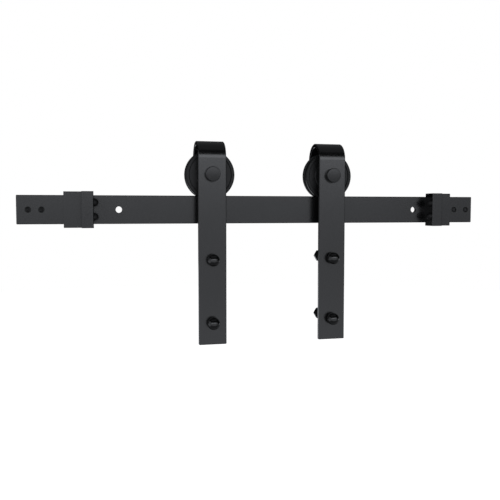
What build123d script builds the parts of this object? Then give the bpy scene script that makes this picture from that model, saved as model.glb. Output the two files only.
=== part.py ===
from build123d import *
import math
import os

# Barn door track: a flat bar rail, two end stops clamped on it, and two J-strap roller
# hangers whose grooved wheels run on the rail's top edge.
#
# Millimetres. +X runs along the rail, +Y into the wall, +Z up. The origin is midway between
# the two wall bolt holes, on the rail's back face.

# ---- rail -------------------------------------------------------------------------------
RAIL_LENGTH = 687.0
RAIL_HEIGHT = 40.0
RAIL_THICKNESS = 6.0
RAIL_MIDDLE_X = -18.15  # the wall holes are not centred on the bar
EDGE_BEVEL = 0.8
WALL_HOLE_SPACING = 450.0
WALL_HOLE_RADIUS = 4.5
END_HOLE_RADIUS = 4.25
END_HOLE_DEPTH = 3.0  # of its straight wall, before the drill point
DRILL_POINT_ANGLE = 118.0
END_HOLE_INSETS = {"left": (15.3, 32.9), "right": (10.4, 30.5)}  # from that end of the rail

RAIL_TOP_Z = RAIL_HEIGHT / 2
RAIL_FRONT_Y = -RAIL_THICKNESS
TRACK_Y = RAIL_FRONT_Y / 2  # middle plane of the rail, where the wheels run

# ---- end stops --------------------------------------------------------------------------
STOP_FACES = {"left": (-259.6, 1), "right": (245.5, -1)}  # buffer face, and the side it faces
STOP_HEIGHT = 50.0
BLOCK_WIDTH = 16.0
BLOCK_FRONT_Y = -29.0
SLEEVE_WIDTH = 24.0
SLEEVE_FRONT_Y = -10.0
SLEEVE_BACK_Y = 6.0
CHANNEL_GAP = 0.2  # play of the rail in the sleeve
BUMPER_RADIUS = 5.5
BUMPER_LENGTH = 6.6
BUMPER_STEM_RADIUS = 3.0
BUMPER_STEM_LENGTH = 8.0
BUMPER_Y = -22.5
BUMPER_RISE = 10.0  # above and below the rail's middle line
SET_SCREW_RADIUS = 3.0
SET_SCREW_KEY = 3.0
SET_SCREW_KEY_DEPTH = 3.0

# ---- hangers ----------------------------------------------------------------------------
HANGERS = {"left": -96.15, "right": 82.95}
STRAP_WIDTH = 40.0
STRAP_THICKNESS = 6.0
BEND_RADIUS = 25.0  # outside of the J
BEND_Z = 73.1
STRAP_BOTTOM_Z = -192.5
REAR_LEG_END_Z = 28.0
STRAP_FRONT_Y = TRACK_Y - BEND_RADIUS
STRAP_INNER_Y = STRAP_FRONT_Y + STRAP_THICKNESS
REAR_LEG_INNER_Y = TRACK_Y + BEND_RADIUS - STRAP_THICKNESS
REAR_LEG_BACK_Y = TRACK_Y + BEND_RADIUS

FIT_GAP = 0.05  # radial play where one piece is put into another

AXLE_RADIUS = 6.0
AXLE_HEAD_RADIUS = 10.5
AXLE_HEAD_HEIGHT = 7.0
AXLE_HEAD_BEVEL = 1.0
AXLE_HOLE_RADIUS = 6.1
AXLE_WASHER_RADIUS = 12.0
AXLE_WASHER_THICKNESS = 2.5
AXLE_NUT_FLATS = 18.0
AXLE_NUT_HEIGHT = 10.8
AXLE_END_OVERHANG = 1.5
SPACER_RADIUS = 8.5

# ---- wheels -----------------------------------------------------------------------------
GROOVE_RADIUS = 29.75
WHEEL_TO_RAIL_GAP = 0.25
AXLE_Z = RAIL_TOP_Z + GROOVE_RADIUS + WHEEL_TO_RAIL_GAP
FLANGE_RADIUS = 35.4
WHEEL_HALF_WIDTH = 9.4
GROOVE_HALF_WIDTH_IN = 3.3
GROOVE_HALF_WIDTH_OUT = 4.6
FLANGE_ROUND = 1.2
FACE_DISH_INNER = 20.5
FACE_DISH_OUTER = 31.0
FACE_DISH_DEPTH = 1.0
BEARING_SEAT_LIP_RADIUS = 14.6

# ---- bearing, a 12 x 32 x 10 ball bearing -----------------------------------------------
BEARING_HALF_WIDTH = 5.0
BEARING_OUTER_RADIUS = 16.0
BALL_COUNT = 7
BALL_RADIUS = 3.0
BALL_PITCH_RADIUS = 11.0
RACEWAY_GAP = 0.15
INNER_SHOULDER_RADIUS = 9.2
OUTER_SHOULDER_RADIUS = 12.9
SHIELD_SEAT_RADIUS = 13.6
SHIELD_BORE_RADIUS = 9.7
SHIELD_INSET = 0.2
SHIELD_THICKNESS = 0.6
CAGE_INNER_RADIUS = 9.9
CAGE_OUTER_RADIUS = 12.2
CAGE_HALF_WIDTH = 3.8
CAGE_POCKET_RADIUS = 3.2
CAGE_POCKET_LENGTH = 5.0

# ---- door bolts, M10, for a door 44.5 thick ---------------------------------------------
DOOR_THICKNESS = 44.5
BOLT_RADIUS = 5.0
BOLT_HOLE_RADIUS = 5.25
BOLT_FLATS = 16.0
BOLT_HEAD_HEIGHT = 6.4
UPPER_BOLT_Z = -71.3
BOLT_SPACING = 90.0
CAP_RADIUS = 8.8
CAP_RISE = 6.8  # of the ball's middle from the strap
CAP_COLLAR_LENGTH = 1.0
CAP_BORE_DEPTH = 12.0
BOLT_TIP_DEPTH = 11.0  # how far the bolt reaches into its cap nut

BOLT_HEAD_Y = STRAP_INNER_Y + DOOR_THICKNESS
BOLT_LEVELS = (UPPER_BOLT_Z, UPPER_BOLT_Z - BOLT_SPACING)


def facing_front(y):
    """The plane at this Y whose normal points out of the wall, towards -Y."""
    return Plane.XZ.offset(-y)


def finish(piece, name):
    """Label one finished piece and write it."""
    piece.part.label = name
    export_step(piece.part, f"parts/{name}.step")


def end_hole_places():
    """X of the blind holes near both ends of the rail."""
    left_end = RAIL_MIDDLE_X - RAIL_LENGTH / 2
    right_end = RAIL_MIDDLE_X + RAIL_LENGTH / 2
    left_places = [left_end + inset for inset in END_HOLE_INSETS["left"]]
    return left_places + [right_end - inset for inset in END_HOLE_INSETS["right"]]


def make_rail():
    with BuildPart() as rail:
        with BuildSketch(facing_front(0)):
            with Locations((RAIL_MIDDLE_X, 0)):
                Rectangle(RAIL_LENGTH, RAIL_HEIGHT)
        extrude(amount=RAIL_THICKNESS)
        chamfer(rail.edges(), length=EDGE_BEVEL)
        with BuildSketch(facing_front(0)):
            with GridLocations(WALL_HOLE_SPACING, 0, 2, 1):
                Circle(WALL_HOLE_RADIUS)
        extrude(amount=RAIL_THICKNESS, mode=Mode.SUBTRACT)
        with BuildSketch(facing_front(RAIL_FRONT_Y)):
            with Locations(*[(hole_x, 0) for hole_x in end_hole_places()]):
                Circle(END_HOLE_RADIUS)
        extrude(amount=-END_HOLE_DEPTH, mode=Mode.SUBTRACT)
        wall_end_y = RAIL_FRONT_Y + END_HOLE_DEPTH
        point_length = END_HOLE_RADIUS / math.tan(math.radians(DRILL_POINT_ANGLE / 2))
        for hole_x in end_hole_places():
            with Locations(Plane(origin=(hole_x, wall_end_y, 0), z_dir=(0, 1, 0))):
                Cone(
                    END_HOLE_RADIUS,
                    0,
                    point_length,
                    align=(Align.CENTER, Align.CENTER, Align.MIN),
                    mode=Mode.SUBTRACT,
                )
    finish(rail, "rail")


def make_stop_body(side, face_x, toward):
    """A sleeve around the rail and, beside it, a thick block that carries the bumpers."""
    sleeve_x = face_x - toward * (BLOCK_WIDTH + SLEEVE_WIDTH / 2)
    block_x = face_x - toward * BLOCK_WIDTH / 2
    with BuildPart() as body:
        with BuildSketch(facing_front(SLEEVE_BACK_Y)):
            with Locations((sleeve_x, 0)):
                Rectangle(SLEEVE_WIDTH, STOP_HEIGHT)
        extrude(amount=SLEEVE_BACK_Y - SLEEVE_FRONT_Y)
        with BuildSketch(facing_front(RAIL_FRONT_Y)):
            with Locations((block_x, 0)):
                Rectangle(BLOCK_WIDTH, STOP_HEIGHT)
        extrude(amount=RAIL_FRONT_Y - BLOCK_FRONT_Y)
        corners = body.edges().filter_by(Axis.X).group_by(Axis.Z)
        chamfer(corners[0] + corners[-1], length=EDGE_BEVEL)
        block_front = body.faces().filter_by(Axis.Y).sort_by(Axis.Y)[0]
        chamfer(block_front.edges().filter_by(Axis.Z), length=EDGE_BEVEL)
        with BuildSketch(facing_front(CHANNEL_GAP)):
            with Locations((sleeve_x, 0)):
                Rectangle(SLEEVE_WIDTH, RAIL_HEIGHT + 2 * CHANNEL_GAP)
        extrude(amount=RAIL_THICKNESS + CHANNEL_GAP, mode=Mode.SUBTRACT)
        with BuildSketch(Plane.YZ.offset(face_x)):
            with GridLocations(0, 2 * BUMPER_RISE, 1, 2):
                with Locations((BUMPER_Y, 0)):
                    Circle(BUMPER_STEM_RADIUS + FIT_GAP)
        extrude(amount=-toward * (BUMPER_STEM_LENGTH + 1), mode=Mode.SUBTRACT)
        with BuildSketch(facing_front(SLEEVE_BACK_Y)):
            with Locations((sleeve_x, BUMPER_RISE), (sleeve_x, -BUMPER_RISE)):
                Circle(SET_SCREW_RADIUS)
        extrude(amount=SLEEVE_BACK_Y, mode=Mode.SUBTRACT)
    finish(body, f"{side}_stop_body")


def make_stop_bumpers(side, face_x, toward):
    """Two rubber buttons, each with a stem pushed into the block."""
    barrel = BUMPER_LENGTH - BUMPER_RADIUS
    with BuildPart() as bumpers:
        for z in (BUMPER_RISE, -BUMPER_RISE):

            def at(along, radius):
                return (face_x + toward * along, z + radius)

            slant = BUMPER_RADIUS * math.sqrt(0.5)
            with BuildSketch(facing_front(BUMPER_Y)):
                with BuildLine():
                    Polyline(
                        at(BUMPER_LENGTH, 0),
                        at(-BUMPER_STEM_LENGTH, 0),
                        at(-BUMPER_STEM_LENGTH, BUMPER_STEM_RADIUS),
                        at(0, BUMPER_STEM_RADIUS),
                        at(0, BUMPER_RADIUS),
                        at(barrel, BUMPER_RADIUS),
                    )
                    ThreePointArc(at(barrel, BUMPER_RADIUS), at(barrel + slant, slant), at(BUMPER_LENGTH, 0))
                make_face()
            revolve(axis=Axis((0, BUMPER_Y, z), (1, 0, 0)))
    finish(bumpers, f"{side}_stop_bumpers")


def make_stop_set_screws(side, face_x, toward):
    """Two socket set screws in the sleeve's back wall, tight on the back of the rail."""
    sleeve_x = face_x - toward * (BLOCK_WIDTH + SLEEVE_WIDTH / 2)
    with BuildPart() as screws:
        with BuildSketch(facing_front(SLEEVE_BACK_Y)):
            with Locations((sleeve_x, BUMPER_RISE), (sleeve_x, -BUMPER_RISE)):
                Circle(SET_SCREW_RADIUS - FIT_GAP)
        extrude(amount=SLEEVE_BACK_Y)
        with BuildSketch(facing_front(SLEEVE_BACK_Y)):
            with Locations((sleeve_x, BUMPER_RISE), (sleeve_x, -BUMPER_RISE)):
                RegularPolygon(SET_SCREW_KEY / 2, 6, major_radius=False)
        extrude(amount=SET_SCREW_KEY_DEPTH, mode=Mode.SUBTRACT)
    finish(screws, f"{side}_stop_set_screws")


def make_strap(side, x):
    """Flat bar bent into a J over the wheel: a long front leg and a short rear leg."""
    with BuildPart() as strap:
        with BuildSketch(Plane.YZ.offset(x - STRAP_WIDTH / 2)):
            with BuildLine():
                Line((STRAP_FRONT_Y, STRAP_BOTTOM_Z), (STRAP_FRONT_Y, BEND_Z))
                ThreePointArc(
                    (STRAP_FRONT_Y, BEND_Z),
                    (TRACK_Y, BEND_Z + BEND_RADIUS),
                    (REAR_LEG_BACK_Y, BEND_Z),
                )
                Polyline(
                    (REAR_LEG_BACK_Y, BEND_Z),
                    (REAR_LEG_BACK_Y, REAR_LEG_END_Z),
                    (REAR_LEG_INNER_Y, REAR_LEG_END_Z),
                    (REAR_LEG_INNER_Y, BEND_Z),
                )
                ThreePointArc(
                    (REAR_LEG_INNER_Y, BEND_Z),
                    (TRACK_Y, BEND_Z + BEND_RADIUS - STRAP_THICKNESS),
                    (STRAP_INNER_Y, BEND_Z),
                )
                Polyline(
                    (STRAP_INNER_Y, BEND_Z),
                    (STRAP_INNER_Y, STRAP_BOTTOM_Z),
                    (STRAP_FRONT_Y, STRAP_BOTTOM_Z),
                )
            make_face()
        extrude(amount=STRAP_WIDTH)
        outline = strap.faces().filter_by(Axis.X).edges()
        ends = strap.faces().filter_by(Axis.Z).edges().filter_by(Axis.X)
        chamfer(outline + ends, length=EDGE_BEVEL)
        with BuildSketch(facing_front(REAR_LEG_BACK_Y)):
            with Locations((x, AXLE_Z)):
                Circle(AXLE_HOLE_RADIUS)
        extrude(amount=REAR_LEG_BACK_Y - STRAP_FRONT_Y, mode=Mode.SUBTRACT)
        with BuildSketch(facing_front(STRAP_INNER_Y)):
            with Locations(*[(x, z) for z in BOLT_LEVELS]):
                Circle(BOLT_HOLE_RADIUS)
        extrude(amount=STRAP_THICKNESS, mode=Mode.SUBTRACT)
    finish(strap, f"{side}_strap")


def turned(x, outline):
    """A ring or shaft turned about the axle line. outline lists (Y, radius) corners."""
    with BuildPart() as piece:
        with BuildSketch(Plane.YZ.offset(x)):
            with BuildLine():
                Polyline(*[(y, AXLE_Z + radius) for y, radius in outline], close=True)
            make_face()
        revolve(axis=Axis((x, 0, AXLE_Z), (0, 1, 0)))
    return piece


def tube_outline(y_start, y_end, bore, radius):
    """The (Y, radius) corners of a plain tube."""
    return [(y_start, bore), (y_end, bore), (y_end, radius), (y_start, radius)]


def hexagon_turned(x, z, flats, rotation, outline):
    """A hexagon bar turned down to an outline of (Y, radius) corners about its own middle."""
    start_y = min(y for y, radius in outline)
    end_y = max(y for y, radius in outline)
    with BuildPart() as piece:
        with BuildSketch(facing_front(end_y)):
            with Locations((x, z)):
                RegularPolygon(flats / 2, 6, major_radius=False, rotation=rotation)
        extrude(amount=end_y - start_y)
        with BuildSketch(Plane.YZ.offset(x)):
            with BuildLine():
                Polyline(*[(y, z + radius) for y, radius in outline], close=True)
            make_face()
        revolve(axis=Axis((x, 0, z), (0, 1, 0)), mode=Mode.INTERSECT)
    return piece


def hexagon_corner(flats):
    """The radius over a hexagon's corners, and how far its 30 degree chamfer runs back."""
    corner = flats / math.sqrt(3)
    return corner, (corner - flats / 2) * math.tan(math.radians(30))


def make_axle(side, x):
    """The axle bolt with its low round head in front, and the washer and nut behind."""
    washer_back_y = REAR_LEG_BACK_Y + AXLE_WASHER_THICKNESS
    nut_back_y = washer_back_y + AXLE_NUT_HEIGHT
    head_y = STRAP_FRONT_Y - AXLE_HEAD_HEIGHT
    tip_y = nut_back_y + AXLE_END_OVERHANG
    axle_bolt = turned(
        x,
        [
            (head_y, 0),
            (head_y, AXLE_HEAD_RADIUS - AXLE_HEAD_BEVEL),
            (head_y + AXLE_HEAD_BEVEL, AXLE_HEAD_RADIUS),
            (STRAP_FRONT_Y, AXLE_HEAD_RADIUS),
            (STRAP_FRONT_Y, AXLE_RADIUS),
            (tip_y - EDGE_BEVEL, AXLE_RADIUS),
            (tip_y, AXLE_RADIUS - EDGE_BEVEL),
            (tip_y, 0),
        ],
    )
    finish(axle_bolt, f"{side}_axle_bolt")

    bore = AXLE_RADIUS + FIT_GAP
    washer = turned(x, tube_outline(REAR_LEG_BACK_Y, washer_back_y, bore, AXLE_WASHER_RADIUS))
    finish(washer, f"{side}_axle_washer")

    corner, chamfer_run = hexagon_corner(AXLE_NUT_FLATS)
    nut = hexagon_turned(
        x,
        AXLE_Z,
        AXLE_NUT_FLATS,
        0,
        [
            (washer_back_y, bore),
            (washer_back_y, AXLE_NUT_FLATS / 2),
            (washer_back_y + chamfer_run, corner),
            (nut_back_y - chamfer_run, corner),
            (nut_back_y, AXLE_NUT_FLATS / 2),
            (nut_back_y, bore),
        ],
    )
    finish(nut, f"{side}_axle_nut")


def make_spacers(side, x):
    """The two tubes that hold the bearing's inner race midway between the strap's legs."""
    bore = AXLE_RADIUS + FIT_GAP
    bearing_front_y = TRACK_Y - BEARING_HALF_WIDTH
    bearing_back_y = TRACK_Y + BEARING_HALF_WIDTH
    front = turned(x, tube_outline(STRAP_INNER_Y, bearing_front_y, bore, SPACER_RADIUS))
    finish(front, f"{side}_front_spacer")
    rear = turned(x, tube_outline(bearing_back_y, REAR_LEG_INNER_Y, bore, SPACER_RADIUS))
    finish(rear, f"{side}_rear_spacer")


def make_wheel(side, x):
    """Grooved wheel, with a bearing seat open at the back and a lip in front."""
    front_y = TRACK_Y - WHEEL_HALF_WIDTH
    back_y = TRACK_Y + WHEEL_HALF_WIDTH
    seat_front_y = TRACK_Y - BEARING_HALF_WIDTH
    wheel = turned(
        x,
        [
            (front_y, BEARING_SEAT_LIP_RADIUS),
            (front_y, FACE_DISH_INNER),
            (front_y + FACE_DISH_DEPTH, FACE_DISH_INNER + FACE_DISH_DEPTH),
            (front_y + FACE_DISH_DEPTH, FACE_DISH_OUTER - FACE_DISH_DEPTH),
            (front_y, FACE_DISH_OUTER),
            (front_y, FLANGE_RADIUS - FLANGE_ROUND),
            (front_y + FLANGE_ROUND, FLANGE_RADIUS),
            (TRACK_Y - GROOVE_HALF_WIDTH_OUT, FLANGE_RADIUS),
            (TRACK_Y - GROOVE_HALF_WIDTH_IN, GROOVE_RADIUS),
            (TRACK_Y + GROOVE_HALF_WIDTH_IN, GROOVE_RADIUS),
            (TRACK_Y + GROOVE_HALF_WIDTH_OUT, FLANGE_RADIUS),
            (back_y - FLANGE_ROUND, FLANGE_RADIUS),
            (back_y, FLANGE_RADIUS - FLANGE_ROUND),
            (back_y, FACE_DISH_OUTER),
            (back_y - FACE_DISH_DEPTH, FACE_DISH_OUTER - FACE_DISH_DEPTH),
            (back_y - FACE_DISH_DEPTH, FACE_DISH_INNER + FACE_DISH_DEPTH),
            (back_y, FACE_DISH_INNER),
            (back_y, BEARING_OUTER_RADIUS),
            (seat_front_y, BEARING_OUTER_RADIUS),
            (seat_front_y, BEARING_SEAT_LIP_RADIUS),
        ],
    )
    finish(wheel, f"{side}_wheel")


def raceway_ring(x, bore, radius, seat_radius=None):
    """A bearing race with the balls' groove turned into it.

    seat_radius widens the bore at both ends, for the shields.
    """
    front_y = TRACK_Y - BEARING_HALF_WIDTH
    back_y = TRACK_Y + BEARING_HALF_WIDTH
    with BuildPart() as race:
        with BuildSketch(Plane.YZ.offset(x)):
            with Locations((TRACK_Y, AXLE_Z + (bore + radius) / 2)):
                Rectangle(2 * BEARING_HALF_WIDTH, radius - bore)
            if seat_radius:
                seat_depth = SHIELD_INSET + SHIELD_THICKNESS
                seat_z = AXLE_Z + (bore + seat_radius) / 2
                with Locations((front_y + seat_depth / 2, seat_z), (back_y - seat_depth / 2, seat_z)):
                    Rectangle(seat_depth, seat_radius - bore, mode=Mode.SUBTRACT)
            with Locations((TRACK_Y, AXLE_Z + BALL_PITCH_RADIUS)):
                Circle(BALL_RADIUS + RACEWAY_GAP, mode=Mode.SUBTRACT)
        revolve(axis=Axis((x, 0, AXLE_Z), (0, 1, 0)))
    return race


def make_bearing(side, x):
    """Inner race on the axle, outer race in the wheel, balls in a cage, and two shields."""
    inner = raceway_ring(x, AXLE_RADIUS + FIT_GAP, INNER_SHOULDER_RADIUS)
    finish(inner, f"{side}_bearing_inner_race")
    outer = raceway_ring(
        x, OUTER_SHOULDER_RADIUS, BEARING_OUTER_RADIUS - FIT_GAP, seat_radius=SHIELD_SEAT_RADIUS
    )
    finish(outer, f"{side}_bearing_outer_race")

    bearing_middle = Plane(origin=(x, TRACK_Y, AXLE_Z), x_dir=(1, 0, 0), z_dir=(0, -1, 0))
    with BuildPart() as balls:
        with Locations(bearing_middle):
            with PolarLocations(BALL_PITCH_RADIUS, BALL_COUNT):
                Sphere(BALL_RADIUS)
    finish(balls, f"{side}_bearing_balls")

    with BuildPart() as cage:
        with BuildSketch(facing_front(TRACK_Y + CAGE_HALF_WIDTH)):
            with Locations((x, AXLE_Z)):
                Circle(CAGE_OUTER_RADIUS)
                Circle(CAGE_INNER_RADIUS, mode=Mode.SUBTRACT)
        extrude(amount=2 * CAGE_HALF_WIDTH)
        with Locations(bearing_middle):
            with PolarLocations(BALL_PITCH_RADIUS, BALL_COUNT):
                Cylinder(
                    CAGE_POCKET_RADIUS, CAGE_POCKET_LENGTH, rotation=(0, 90, 0), mode=Mode.SUBTRACT
                )
    finish(cage, f"{side}_bearing_cage")

    shield_bore_y = BEARING_HALF_WIDTH - SHIELD_INSET
    with BuildPart() as shields:
        for back_y in (TRACK_Y + shield_bore_y, TRACK_Y - shield_bore_y + SHIELD_THICKNESS):
            with BuildSketch(facing_front(back_y)):
                with Locations((x, AXLE_Z)):
                    Circle(SHIELD_SEAT_RADIUS - FIT_GAP)
                    Circle(SHIELD_BORE_RADIUS, mode=Mode.SUBTRACT)
            extrude(amount=SHIELD_THICKNESS)
    finish(shields, f"{side}_bearing_shields")


def pair(single):
    """The upper of two like fasteners, and the same again one bolt spacing lower."""
    with BuildPart() as both:
        with Locations((0, 0, 0), (0, 0, -BOLT_SPACING)):
            add(single.part)
    return both


def make_door_bolts(side, x):
    """Two hexagon bolts, put through the door from behind."""
    corner, chamfer_run = hexagon_corner(BOLT_FLATS)
    head_back_y = BOLT_HEAD_Y + BOLT_HEAD_HEIGHT
    tip_y = STRAP_FRONT_Y - BOLT_TIP_DEPTH
    bolt = hexagon_turned(
        x,
        UPPER_BOLT_Z,
        BOLT_FLATS,
        0,
        [
            (head_back_y, 0),
            (head_back_y, BOLT_FLATS / 2),
            (head_back_y - chamfer_run, corner),
            (BOLT_HEAD_Y, corner),
            (BOLT_HEAD_Y, BOLT_RADIUS),
            (tip_y + EDGE_BEVEL, BOLT_RADIUS),
            (tip_y, BOLT_RADIUS - EDGE_BEVEL),
            (tip_y, 0),
        ],
    )
    finish(pair(bolt), f"{side}_door_bolts")


def make_cap_nuts(side, x):
    """Two ball-shaped cap nuts on the front of the strap, each on a short round collar."""
    middle_y = STRAP_FRONT_Y - CAP_RISE
    collar_y = STRAP_FRONT_Y - CAP_COLLAR_LENGTH
    bore = BOLT_RADIUS + FIT_GAP
    bore_end_y = STRAP_FRONT_Y - CAP_BORE_DEPTH

    def ball_radius(y):
        return math.sqrt(CAP_RADIUS**2 - (y - middle_y) ** 2)

    def at(y, radius):
        return (y, UPPER_BOLT_Z + radius)

    tip_y = middle_y - CAP_RADIUS
    with BuildPart() as cap:
        with BuildSketch(Plane.YZ.offset(x)):
            with BuildLine():
                ThreePointArc(
                    at(tip_y, 0),
                    at(middle_y, CAP_RADIUS),
                    at(collar_y, ball_radius(collar_y)),
                )
                Polyline(
                    at(collar_y, ball_radius(collar_y)),
                    at(STRAP_FRONT_Y, ball_radius(collar_y)),
                    at(STRAP_FRONT_Y, bore),
                    at(bore_end_y, bore),
                    at(bore_end_y, 0),
                    at(tip_y, 0),
                )
            make_face()
        revolve(axis=Axis((x, 0, UPPER_BOLT_Z), (0, 1, 0)))
    finish(pair(cap), f"{side}_cap_nuts")


os.makedirs("parts", exist_ok=True)
make_rail()
for side, (face_x, toward) in STOP_FACES.items():
    make_stop_body(side, face_x, toward)
    make_stop_bumpers(side, face_x, toward)
    make_stop_set_screws(side, face_x, toward)
for side, x in HANGERS.items():
    make_strap(side, x)
    make_axle(side, x)
    make_spacers(side, x)
    make_wheel(side, x)
    make_bearing(side, x)
    make_door_bolts(side, x)
    make_cap_nuts(side, x)
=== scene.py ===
import math

import bmesh
import bpy
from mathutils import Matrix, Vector


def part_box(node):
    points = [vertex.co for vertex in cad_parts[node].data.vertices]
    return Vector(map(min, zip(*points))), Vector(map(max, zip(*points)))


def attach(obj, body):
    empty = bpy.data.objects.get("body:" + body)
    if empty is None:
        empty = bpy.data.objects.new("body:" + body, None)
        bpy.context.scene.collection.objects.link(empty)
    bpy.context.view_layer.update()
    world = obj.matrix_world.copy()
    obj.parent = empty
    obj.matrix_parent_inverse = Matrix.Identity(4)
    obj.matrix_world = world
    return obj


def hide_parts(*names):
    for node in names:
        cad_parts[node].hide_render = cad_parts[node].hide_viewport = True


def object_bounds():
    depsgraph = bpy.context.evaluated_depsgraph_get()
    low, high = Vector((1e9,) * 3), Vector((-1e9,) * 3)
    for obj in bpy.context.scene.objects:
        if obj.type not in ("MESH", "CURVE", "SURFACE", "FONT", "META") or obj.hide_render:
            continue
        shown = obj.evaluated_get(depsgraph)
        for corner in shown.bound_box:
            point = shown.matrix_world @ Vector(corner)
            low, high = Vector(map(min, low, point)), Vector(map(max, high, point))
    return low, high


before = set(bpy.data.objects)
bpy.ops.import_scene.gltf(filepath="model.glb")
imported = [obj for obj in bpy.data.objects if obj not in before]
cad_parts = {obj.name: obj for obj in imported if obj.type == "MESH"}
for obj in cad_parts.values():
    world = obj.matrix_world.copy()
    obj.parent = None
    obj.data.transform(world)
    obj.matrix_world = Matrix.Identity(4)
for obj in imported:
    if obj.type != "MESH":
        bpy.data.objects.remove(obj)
cad_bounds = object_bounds()
scene = bpy.context.scene

SIDES = ("left", "right")
MM = 0.001


# ---- camera -----------------------------------------------------------------------------
CAMERA_PLACE = Vector((-0.2664, -0.9608, 0.0))
CAMERA_YAW = math.radians(13.54)
CAMERA_PITCH = math.radians(-3.45)
CAMERA_LENS_MM = 48.2
CAMERA_SENSOR_MM = 36.0
CAMERA_CLIP = (0.01, 60.0)


def make_camera():
    data = bpy.data.cameras.new("camera")
    data.sensor_width = CAMERA_SENSOR_MM
    data.lens = CAMERA_LENS_MM
    data.clip_start, data.clip_end = CAMERA_CLIP
    camera = bpy.data.objects.new("camera", data)
    scene.collection.objects.link(camera)
    forward = Vector(
        (
            math.sin(CAMERA_YAW) * math.cos(CAMERA_PITCH),
            math.cos(CAMERA_YAW) * math.cos(CAMERA_PITCH),
            math.sin(CAMERA_PITCH),
        )
    )
    camera.location = CAMERA_PLACE
    camera.rotation_euler = forward.to_track_quat("-Z", "Y").to_euler()
    scene.camera = camera


# ---- light and stage --------------------------------------------------------------------
LIGHT_COLOUR = (0.97, 1.0, 1.06)
SOFTBOX_DISTANCE = 2.4  # from the rail to the upright softboxes
WHITE = (1, 1, 1, 1)

# Rows of the wide front softbox, seen from the rail: low and high edge in degrees, radiance.
FRONT_ROWS = {
    "front_fill": (-33, 3.5, 0.92),
    "front_strip": (4, 10, 1.9),
    "front_strip_top": (10, 25, 2.9),
}
FRONT_REACH = 62  # how far each row goes to either side, in degrees
FRONT_DIM_FROM = 31  # to the right of this each row is dimmer
FRONT_DIM_SHARE = 0.7

# The upright softbox at the left: azimuth, spread, low and high edge in degrees, radiance.
LEFT_FILL = (-88, 52, -33, 27, 0.85)

# Softboxes above the object, which face the origin: place, width, height, radiance.
HIGH_SOFTBOXES = {
    "overhead": ((0, 0.2, 2.3), 4.0, 3.6, 0.16),
    "back": ((0, 2.6, 2.1), 5.0, 1.0, 0.12),
}

# Softboxes just over the floor, which face straight up: x, y, width, height, radiance.
LOW_SOFTBOXES = {
    "under": (0, -0.6, 5.0, 2.6, 0.22),
    "back_low": (0, 2.4, 6.0, 3.4, 0.9),
    "right_low": (2.4, -0.2, 2.0, 3.0, 0.35),
}
LOW_SOFTBOX_RISE = 0.02

AMBIENT = 0.004  # the world's strength as a source of light
BACKDROP = 1.0  # and as the camera sees it

FLOOR_DROP = 0.26  # from the lowest point of the hangers to the floor
FLOOR_RADIUS = 3.0
FLOOR_SIDES = 96
FLOOR_GREY = 0.8
FLOOR_GLOW = 0.97  # it lights itself, so that it looks white without any shadow


def make_area_light(name, place, aim, width, height, radiance):
    """A softbox of even brightness. radiance is that of its face, where a white page is 1."""
    data = bpy.data.lights.new(name, "AREA")
    data.shape = "RECTANGLE"
    data.size = width
    data.size_y = height
    data.energy = radiance * math.pi * width * height
    data.color = LIGHT_COLOUR
    light = bpy.data.objects.new(name, data)
    light.visible_camera = False
    scene.collection.objects.link(light)
    light.location = place
    direction = Vector(aim) - Vector(place)
    light.rotation_euler = direction.to_track_quat("-Z", "Y").to_euler()


def make_panel(name, azimuth, spread, low, high, radiance):
    """An upright softbox, given in degrees as seen from the rail.

    azimuth is 0 in front and grows to the right. spread is how wide the panel looks, and low
    and high are the elevations of its edges.
    """
    turn = math.radians(azimuth)
    low_z = SOFTBOX_DISTANCE * math.tan(math.radians(low))
    high_z = SOFTBOX_DISTANCE * math.tan(math.radians(high))
    width = 2 * SOFTBOX_DISTANCE * math.tan(math.radians(spread / 2))
    level = (low_z + high_z) / 2
    place = (SOFTBOX_DISTANCE * math.sin(turn), -SOFTBOX_DISTANCE * math.cos(turn), level)
    make_area_light(name, place, (0, 0, level), width, high_z - low_z, radiance)


def make_front_row(name, from_azimuth, to_azimuth, low, high, radiance):
    """Part of a row of the front softbox, which is one flat face along the rail."""
    left_x, right_x, low_z, high_z = (
        SOFTBOX_DISTANCE * math.tan(math.radians(angle))
        for angle in (from_azimuth, to_azimuth, low, high)
    )
    x, z = (left_x + right_x) / 2, (low_z + high_z) / 2
    place = (x, -SOFTBOX_DISTANCE, z)
    make_area_light(name, place, (x, 0, z), right_x - left_x, high_z - low_z, radiance)


def make_lights(floor_z):
    for name, (low, high, radiance) in FRONT_ROWS.items():
        make_front_row(name, -FRONT_REACH, FRONT_DIM_FROM, low, high, radiance)
        dim = radiance * FRONT_DIM_SHARE
        make_front_row(f"{name}_right", FRONT_DIM_FROM, FRONT_REACH, low, high, dim)
    make_panel("left_fill", *LEFT_FILL)
    for name, (place, width, height, radiance) in HIGH_SOFTBOXES.items():
        make_area_light(name, place, (0, 0, 0), width, height, radiance)
    low_z = floor_z + LOW_SOFTBOX_RISE
    for name, (x, y, width, height, radiance) in LOW_SOFTBOXES.items():
        make_area_light(name, (x, y, low_z), (x, y, 0), width, height, radiance)


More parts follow.
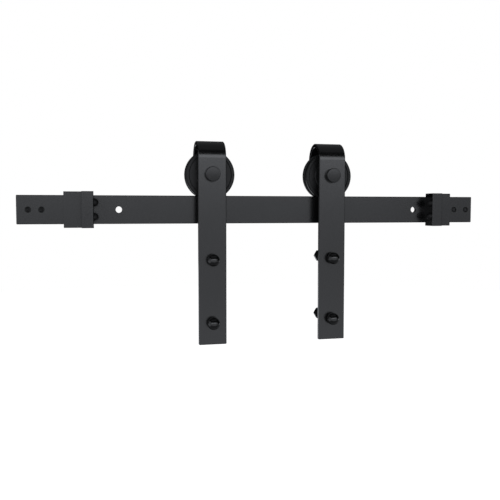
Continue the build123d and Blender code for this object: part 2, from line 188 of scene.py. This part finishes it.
def make_world():
    """White where the camera looks past the stage, and nearly dark as a source of light."""
    world = bpy.data.worlds.new("studio")
    scene.world = world
    world.use_nodes = True
    nodes, links = world.node_tree.nodes, world.node_tree.links
    nodes.clear()
    out = nodes.new("ShaderNodeOutputWorld")
    mix = nodes.new("ShaderNodeMixShader")
    seen = nodes.new("ShaderNodeLightPath")
    ambient = nodes.new("ShaderNodeBackground")
    ambient.inputs["Color"].default_value = WHITE
    ambient.inputs["Strength"].default_value = AMBIENT
    backdrop = nodes.new("ShaderNodeBackground")
    backdrop.inputs["Color"].default_value = WHITE
    backdrop.inputs["Strength"].default_value = BACKDROP
    links.new(seen.outputs["Is Camera Ray"], mix.inputs[0])
    links.new(ambient.outputs[0], mix.inputs[1])
    links.new(backdrop.outputs[0], mix.inputs[2])
    links.new(mix.outputs[0], out.inputs["Surface"])


def make_floor(floor_z):
    """A white disc that shows to the camera but in no reflection."""
    bm = bmesh.new()
    bmesh.ops.create_circle(bm, cap_ends=True, segments=FLOOR_SIDES, radius=FLOOR_RADIUS)
    mesh = bpy.data.meshes.new("floor")
    bm.to_mesh(mesh)
    bm.free()
    floor = bpy.data.objects.new("floor", mesh)
    floor.location.z = floor_z
    floor.visible_glossy = False
    floor.visible_diffuse = False
    scene.collection.objects.link(floor)
    material = bpy.data.materials.new("floor")
    material.use_nodes = True
    shader = material.node_tree.nodes["Principled BSDF"]
    shader.inputs["Base Color"].default_value = (FLOOR_GREY, FLOOR_GREY, FLOOR_GREY, 1)
    shader.inputs["Roughness"].default_value = 1.0
    shader.inputs["Specular IOR Level"].default_value = 0.0
    shader.inputs["Emission Color"].default_value = WHITE
    shader.inputs["Emission Strength"].default_value = FLOOR_GLOW
    mesh.materials.append(material)


# ---- threaded fasteners -----------------------------------------------------------------
HEX_SIDES = 6
RING_POINTS = 48  # a multiple of HEX_SIDES, so that every hexagon corner falls on a point
RINGS_PER_TURN = 10
THREAD_CREST = 0.125  # width of the crest's and the root's flats, as parts of the pitch
THREAD_ROOT = 0.25
THREAD_DEPTH = 0.6134
SHARP_ANGLE = math.radians(30)  # edges steeper than this aren't shaded smooth

BOLT_MAJOR = 4.98 * MM
BOLT_PITCH = 1.5 * MM
BOLT_THREAD = 30 * MM
BOLT_HEAD_HEIGHT = 6.4 * MM
BOLT_FLATS = 16 * MM
BOLT_SPACING = 90 * MM
HEX_CHAMFER = math.tan(math.radians(30))
WASHER_FACE = 0.5 * MM  # the round bearing face under a hexagon head
WASHER_FACE_SHARE = 0.97  # of the distance from middle to flat
TOP_FACE_SHARE = 0.93

AXLE_HEAD_RADIUS = 10.5 * MM
AXLE_HEAD_ROUND = 1.0 * MM
AXLE_RADIUS = 6 * MM
AXLE_THREAD_START_Y = 21 * MM
AXLE_PITCH = 1.75 * MM
ROUND_STEPS = 6


def thread_radius(major, pitch, turns):
    """The radius of a metric thread where its helix has gone this many turns round."""
    phase = turns % 1.0
    from_crest = min(phase, 1.0 - phase)
    flank = 0.5 - (THREAD_CREST + THREAD_ROOT) / 2
    cut = min(max((from_crest - THREAD_CREST / 2) / flank, 0.0), 1.0)
    return major - THREAD_DEPTH * pitch * cut


def hexagon_radius(flats, limit, turn):
    """A hexagon's radius at this part of a turn, cut to limit where its corners are turned off."""
    from_flat = (turn * HEX_SIDES) % 1.0 - 0.5
    return min(flats / 2 / math.cos(2 * math.pi / HEX_SIDES * from_flat), limit)


def add_rings(bm, x, z, rings):
    """A closed skin through rings about the line along Y at x, z.

    Each ring is its y and a function from part of a turn to radius.
    """
    last = None
    for y, radius_at in rings:
        ring = []
        for point in range(RING_POINTS):
            turn = point / RING_POINTS
            angle, radius = 2 * math.pi * turn, radius_at(turn)
            place = (x + radius * math.cos(angle), y, z + radius * math.sin(angle))
            ring.append(bm.verts.new(place))
        if last:
            for point in range(RING_POINTS):
                after = (point + 1) % RING_POINTS
                bm.faces.new((last[point], last[after], ring[after], ring[point]))
        else:
            bm.faces.new(ring)
        last = ring
    bm.faces.new(last)


def round_ring(y, radius):
    return y, lambda turn: radius


def hex_ring(y, flats, limit):
    return y, lambda turn: hexagon_radius(flats, limit, turn)


def thread_rings(start_y, end_y, major, pitch):
    """Rings of a right-hand thread, tapered to the root at its start and run out at its end."""
    count = round((end_y - start_y) / pitch * RINGS_PER_TURN)
    root = major - THREAD_DEPTH * pitch
    rings = []
    for index in range(count + 1):
        along = index / RINGS_PER_TURN  # in pitches
        left = (count - index) / RINGS_PER_TURN

        def radius_at(turn, along=along, left=left):
            cut = thread_radius(major, pitch, along + turn)
            tapered = root + along * pitch
            run_out = major - THREAD_DEPTH * pitch * left
            return max(min(cut, tapered), run_out)

        rings.append((start_y + along * pitch, radius_at))
    return rings


def finish_piece(name, bm, material, body, node):
    """An object of this mesh that rides its body in place of a CAD node."""
    bmesh.ops.recalc_face_normals(bm, faces=bm.faces)
    mesh = bpy.data.meshes.new(name)
    bm.to_mesh(mesh)
    bm.free()
    mesh.shade_smooth()
    mesh.set_sharp_from_angle(angle=SHARP_ANGLE)
    mesh.materials.append(material)
    made = bpy.data.objects.new(name, mesh)
    scene.collection.objects.link(made)
    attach(made, body)
    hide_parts(node)


def hexagon_head(near_y, far_y, flats):
    """Rings of a bolt head, from its round bearing face to its chamfered top."""
    flat, corner = flats / 2, flats / math.sqrt(3)
    run = (corner - flat) * HEX_CHAMFER
    return [
        round_ring(near_y, flat * WASHER_FACE_SHARE),
        round_ring(near_y + WASHER_FACE, flat * WASHER_FACE_SHARE),
        hex_ring(near_y + WASHER_FACE, flats, corner),
        hex_ring(far_y - run, flats, corner),
        hex_ring(far_y - run / 2, flats, (corner + flat) / 2),
        hex_ring(far_y, flats, flat),
        round_ring(far_y, flat * TOP_FACE_SHARE),
    ]


def make_door_bolts(side, material):
    """The two hexagon bolts of a hanger, with their threads cut."""
    node = f"{side}_door_bolts"
    low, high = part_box(node)
    x, middle_z = (low.x + high.x) / 2, (low.z + high.z) / 2
    head_y = high.y - BOLT_HEAD_HEIGHT
    bm = bmesh.new()
    for z in (middle_z + BOLT_SPACING / 2, middle_z - BOLT_SPACING / 2):
        rings = thread_rings(low.y, low.y + BOLT_THREAD, BOLT_MAJOR, BOLT_PITCH)
        rings.append(round_ring(head_y, BOLT_MAJOR))
        rings += hexagon_head(head_y, high.y, BOLT_FLATS)
        add_rings(bm, x, z, rings)
    finish_piece(f"{side}_threaded_bolts", bm, material, f"{side}_hanger", node)


def axle_place(side):
    """x and z of the line along Y about which a wheel turns."""
    low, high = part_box(f"{side}_axle_bolt")
    return (low.x + high.x) / 2, (low.z + high.z) / 2


def make_axle_bolt(side, material):
    """The axle bolt, with its head's edge rolled over and its thread cut."""
    node = f"{side}_axle_bolt"
    low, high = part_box(node)
    strap_front_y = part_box(f"{side}_strap")[0].y
    rings = []
    for step in range(ROUND_STEPS, -1, -1):
        angle = math.pi / 2 * step / ROUND_STEPS
        y = low.y + AXLE_HEAD_ROUND * (1 - math.sin(angle))
        rings.append(round_ring(y, AXLE_HEAD_RADIUS - AXLE_HEAD_ROUND * (1 - math.cos(angle))))
    rings.append(round_ring(strap_front_y, AXLE_HEAD_RADIUS))
    rings.append(round_ring(strap_front_y, AXLE_RADIUS))
    # Turned end for end, as this thread's free end is at the back.
    thread = thread_rings(-high.y, -AXLE_THREAD_START_Y, AXLE_RADIUS, AXLE_PITCH)
    for y, radius_at in reversed(thread):
        rings.append((-y, lambda turn, radius_at=radius_at: radius_at(-turn)))
    bm = bmesh.new()
    add_rings(bm, *axle_place(side), rings)
    finish_piece(f"{side}_threaded_axle", bm, material, f"{side}_hanger", node)


# ---- materials --------------------------------------------------------------------------
# Tone, roughness and specular level of the powder coat and of the black oxide.
COAT_TONE = 0.0035
STRAP_TONE = 0.0038
STRAP_SPECULAR = 0.54
COAT_ROUGHNESS = 0.22
COAT_SPECULAR = 0.5
COAT_GLOSS_SPREAD = 0.02
COAT_PEEL_DEPTH = 0.01 * MM
HOLE_ROUGHNESS = 0.6
FASTENER_GLOSS = (0.2, 0.45)  # roughness and specular level
AXLE_GLOSS = (0.24, 0.34)
WEAR_GLOSS_SPREAD = 0.04
SCRATCH_STRETCH = (2600, 120, 2600)  # scratches run along Y, as the fasteners lie
SCRATCH_DEPTH = 0.006 * MM

# Where the rail's dull hole walls are: this far from its front and back, and from mid-height.
HOLE_FRONT_MARGIN = 0.4 * MM
HOLE_BACK_MARGIN = 0.2 * MM
HOLE_REACH = 4.6 * MM

# Turning and grinding rings, and the grain of moulded nylon and rubber.
NYLON_RING_PITCH = 0.9 * MM
NYLON_RING_DEPTH = 0.002 * MM
NYLON_SPECULAR = 0.2
STEEL_RING_PITCH = 0.4 * MM
STEEL_RING_DEPTH = 0.001 * MM
GRAIN_DEPTH = 0.02 * MM
RUBBER_SPECULAR = 0.18


class Shader:
    """A material's node tree, with short calls for the nodes used here."""

    def __init__(self, name):
        self.material = bpy.data.materials.new(name)
        self.material.use_nodes = True
        self.nodes = self.material.node_tree.nodes
        self.links = self.material.node_tree.links
        self.surface = self.nodes["Principled BSDF"]
        self.place = self.nodes.new("ShaderNodeTexCoord").outputs["Object"]

    def noise(self, per_metre, detail=3.0, roughness=0.5, place=None):
        node = self.nodes.new("ShaderNodeTexNoise")
        node.inputs["Scale"].default_value = per_metre
        node.inputs["Detail"].default_value = detail
        node.inputs["Roughness"].default_value = roughness
        self.links.new(place or self.place, node.inputs["Vector"])
        return node.outputs["Fac"]

    def ramp(self, value, low, high, start=0.3, end=0.7):
        """Colours from low to high as the value goes from start to end."""
        node = self.nodes.new("ShaderNodeValToRGB")
        node.color_ramp.elements[0].position = start
        node.color_ramp.elements[0].color = (*low, 1)
        node.color_ramp.elements[1].position = end
        node.color_ramp.elements[1].color = (*high, 1)
        self.links.new(value, node.inputs["Fac"])
        return node.outputs["Color"]

    def remap(self, value, low, high):
        node = self.nodes.new("ShaderNodeMapRange")
        node.inputs["To Min"].default_value = low
        node.inputs["To Max"].default_value = high
        self.links.new(value, node.inputs["Value"])
        return node.outputs["Result"]

    def axes(self):
        node = self.nodes.new("ShaderNodeSeparateXYZ")
        self.links.new(self.place, node.inputs[0])
        return tuple(node.outputs)

    def math(self, operation, first, second=None):
        node = self.nodes.new("ShaderNodeMath")
        node.operation = operation
        for socket, value in zip(node.inputs, (first, second)):
            if isinstance(value, bpy.types.NodeSocket):
                self.links.new(value, socket)
            elif value is not None:
                socket.default_value = value
        return node.outputs[0]

    def radius(self, axle):
        """Distance from the line along Y at this x and z."""
        x, _, z = self.axes()
        squares = []
        for value, middle in zip((x, z), axle):
            offset = self.math("SUBTRACT", value, middle)
            squares.append(self.math("MULTIPLY", offset, offset))
        return self.math("SQRT", self.math("ADD", *squares))

    def turned_rings(self, axle, pitch):
        """A wave from -1 to 1 in rings about the axle, one to each pitch."""
        turns = self.math("MULTIPLY", self.radius(axle), 2 * math.pi / pitch)
        return self.math("SINE", turns)

    def stretched(self, scale):
        """Object coordinates times this scale."""
        node = self.nodes.new("ShaderNodeMapping")
        node.inputs["Scale"].default_value = scale
        self.links.new(self.place, node.inputs["Vector"])
        return node.outputs["Vector"]

    def blend(self, factor, first, second):
        """first where factor is 0, second where it is 1."""
        node = self.nodes.new("ShaderNodeMix")
        self.links.new(factor, node.inputs["Factor"])
        for socket, value in ((node.inputs["A"], first), (node.inputs["B"], second)):
            if isinstance(value, bpy.types.NodeSocket):
                self.links.new(value, socket)
            else:
                socket.default_value = value
        return node.outputs["Result"]

    def bump(self, height, metres, below=None):
        node = self.nodes.new("ShaderNodeBump")
        node.inputs["Distance"].default_value = metres
        self.links.new(height, node.inputs["Height"])
        if below:
            self.links.new(below, node.inputs["Normal"])
        return node.outputs["Normal"]

    def set(self, **inputs):
        for key, value in inputs.items():
            socket = self.surface.inputs[key.replace("_", " ")]
            if isinstance(value, bpy.types.NodeSocket):
                self.links.new(value, socket)
            else:
                socket.default_value = value


def grey(value):
    """A grey with a slight cast of blue, as the black coats have."""
    return (value, value * 1.01, value * 1.04)


def powder_coat(name, tone, specular=COAT_SPECULAR, holes=None):
    """Satin black powder coat: a fine orange peel with slight cloudiness in tone and gloss.

    holes makes a value that is 1 inside drilled holes, where the coat is thin and dull.
    """
    shader = Shader(name)
    cloud = shader.noise(22, detail=4)
    peel = shader.noise(950, detail=2)
    low, high = COAT_ROUGHNESS - COAT_GLOSS_SPREAD, COAT_ROUGHNESS + COAT_GLOSS_SPREAD
    gloss = shader.remap(cloud, low, high)
    if holes:
        gloss = shader.blend(holes(shader), gloss, HOLE_ROUGHNESS)
    shader.set(
        Base_Color=shader.ramp(cloud, grey(tone * 0.88), grey(tone * 1.12)),
        Roughness=gloss,
        Specular_IOR_Level=specular,
        Normal=shader.bump(peel, COAT_PEEL_DEPTH),
    )
    return shader.material


def rail_holes(shader):
    """1 between the rail's front and back faces and near its middle line, where its holes are."""
    low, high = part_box("rail")
    _, y, z = shader.axes()
    behind_front = shader.math("GREATER_THAN", y, low.y + HOLE_FRONT_MARGIN)
    near_middle = shader.math("LESS_THAN", shader.math("ABSOLUTE", z), HOLE_REACH)
    before_back = shader.math("LESS_THAN", y, high.y - HOLE_BACK_MARGIN)
    inside = shader.math("MULTIPLY", behind_front, near_middle)
    return shader.math("MULTIPLY", inside, before_back)


def blackened_steel(name, roughness, specular):
    """Black oxide on turned steel: fine scratches, and wear that varies the gloss."""
    shader = Shader(name)
    wear = shader.noise(60, detail=5, roughness=0.6)
    along_y = shader.stretched(SCRATCH_STRETCH)
    scratches = shader.noise(1, detail=6, roughness=0.7, place=along_y)
    low, high = roughness - WEAR_GLOSS_SPREAD, roughness + WEAR_GLOSS_SPREAD
    shader.set(
        Base_Color=shader.ramp(wear, grey(0.0025), grey(0.0045)),
        Roughness=shader.remap(wear, low, high),
        Specular_IOR_Level=specular,
        Normal=shader.bump(scratches, SCRATCH_DEPTH),
    )
    return shader.material


def wheel_nylon(name, axle):
    """Moulded black nylon with faint turning rings on its faces."""
    shader = Shader(name)
    rings = shader.turned_rings(axle, NYLON_RING_PITCH)
    grain = shader.noise(700, detail=3)
    mottle = shader.noise(120, detail=4)
    turned = shader.bump(rings, NYLON_RING_DEPTH)
    shader.set(
        Base_Color=shader.ramp(mottle, grey(0.0035), grey(0.008)),
        Roughness=shader.remap(mottle, 0.34, 0.46),
        Specular_IOR_Level=NYLON_SPECULAR,
        Normal=shader.bump(grain, GRAIN_DEPTH, below=turned),
    )
    return shader.material


def bearing_steel(name, axle):
    """Ground steel, with the fine rings left by the grinding."""
    shader = Shader(name)
    rings = shader.turned_rings(axle, STEEL_RING_PITCH)
    tone = shader.noise(90, detail=4)
    shader.set(
        Base_Color=shader.ramp(tone, grey(0.42), grey(0.55)),
        Metallic=1.0,
        Roughness=shader.remap(tone, 0.2, 0.34),
        Normal=shader.bump(rings, STEEL_RING_DEPTH),
    )
    return shader.material


def rubber(name):
    """Dull black rubber with a fine grain."""
    shader = Shader(name)
    grain = shader.noise(1500, detail=3)
    tone = shader.noise(200, detail=3)
    shader.set(
        Base_Color=shader.ramp(tone, grey(0.003), grey(0.006)),
        Roughness=shader.remap(tone, 0.5, 0.62),
        Specular_IOR_Level=RUBBER_SPECULAR,
        Normal=shader.bump(grain, GRAIN_DEPTH),
    )
    return shader.material


def assign(node, material):
    """Gives a CAD piece its material."""
    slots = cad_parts[node].data.materials
    if len(slots):
        slots[0] = material
    else:
        slots.append(material)


FASTENERS = (
    "axle_washer",
    "axle_nut",
    "front_spacer",
    "rear_spacer",
    "cap_nuts",
    "stop_set_screws",
)
BEARING_PIECES = ("inner_race", "outer_race", "balls", "cage", "shields")


def dress_object():
    """Materials for every piece, and threaded bolts in place of the plain ones."""
    assign("rail", powder_coat("rail_coat", COAT_TONE, holes=rail_holes))
    stop_coat = powder_coat("stop_coat", COAT_TONE)
    strap_coat = powder_coat("strap_coat", STRAP_TONE, STRAP_SPECULAR)
    fastener = blackened_steel("black_fastener", *FASTENER_GLOSS)
    axle_coat = blackened_steel("axle_black", *AXLE_GLOSS)
    bumper_rubber = rubber("rubber")
    for side in SIDES:
        axle = axle_place(side)
        nylon = wheel_nylon(f"{side}_wheel_nylon", axle)
        steel = bearing_steel(f"{side}_bearing_steel", axle)
        assign(f"{side}_stop_body", stop_coat)
        assign(f"{side}_strap", strap_coat)
        assign(f"{side}_wheel", nylon)
        assign(f"{side}_stop_bumpers", bumper_rubber)
        for piece in FASTENERS:
            assign(f"{side}_{piece}", fastener)
        for piece in BEARING_PIECES:
            assign(f"{side}_bearing_{piece}", steel)
        make_door_bolts(side, fastener)
        make_axle_bolt(side, axle_coat)


floor_z = cad_bounds[0][2] - FLOOR_DROP
make_camera()
make_world()
make_lights(floor_z)
make_floor(floor_z)
dress_object()
scene.view_settings.view_transform = "Standard"
